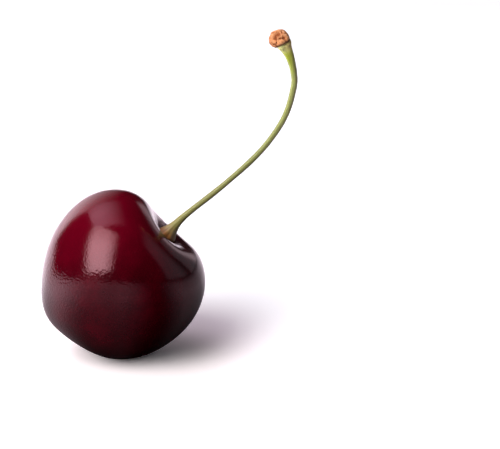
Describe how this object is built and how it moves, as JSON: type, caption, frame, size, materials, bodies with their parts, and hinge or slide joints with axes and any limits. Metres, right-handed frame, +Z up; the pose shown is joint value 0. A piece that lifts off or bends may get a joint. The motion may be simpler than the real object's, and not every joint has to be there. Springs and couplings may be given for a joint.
{
  "type": "sweet cherry on its stalk",
  "caption": "Ripe sweet cherry lying on its cheek, with a curved green stalk that ends in a dry knob of bud scales.",
  "frame": {"origin": "centre of the small flat on the fruit's underside, which is what it rests on", "axes": "+Z up from the surface it rests on; +X the way the stalk leans; +Y across, so that -Y looks at the side of the fruit where the front of the hollow shows"},
  "size_m": [0.0408, 0.0247, 0.0538],
  "materials": {
    "cherry_skin": "gloss",
    "stalk_green": "satin",
    "cork_brown": "matte"
  },
  "bodies": {
    "root": {"fruit": "cherry_skin", "stalk": "stalk_green", "bud_scales": "cork_brown"}
  },
  "joints": []
}
